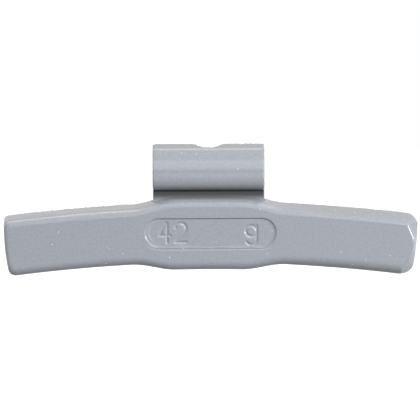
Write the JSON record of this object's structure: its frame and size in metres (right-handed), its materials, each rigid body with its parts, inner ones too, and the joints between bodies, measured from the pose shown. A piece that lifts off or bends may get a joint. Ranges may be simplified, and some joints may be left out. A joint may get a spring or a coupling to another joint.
{
  "type": "wheel balance weight",
  "caption": "Clip-on wheel balance weight: a pressed steel bar curved to the rim, with a rolled spring clip that grips the rim's lip, both in a satin grey coating.",
  "frame": {"origin": "on the axis of the clip's roll, where the lip of the rim sits, midway along the clip", "axes": "+X along the rim, -Y the visible front of the weight, +Y the side that lies on the wheel, +Z away from the wheel's axis"},
  "size_m": [0.0783, 0.0104, 0.0246],
  "materials": {
    "bar_coating": "satin grey powder coating on steel",
    "clip_coating": "satin grey powder coating on spring steel"
  },
  "bodies": {
    "root": {"weight_body": "bar_coating", "rim_clip": "clip_coating"}
  },
  "joints": []
}
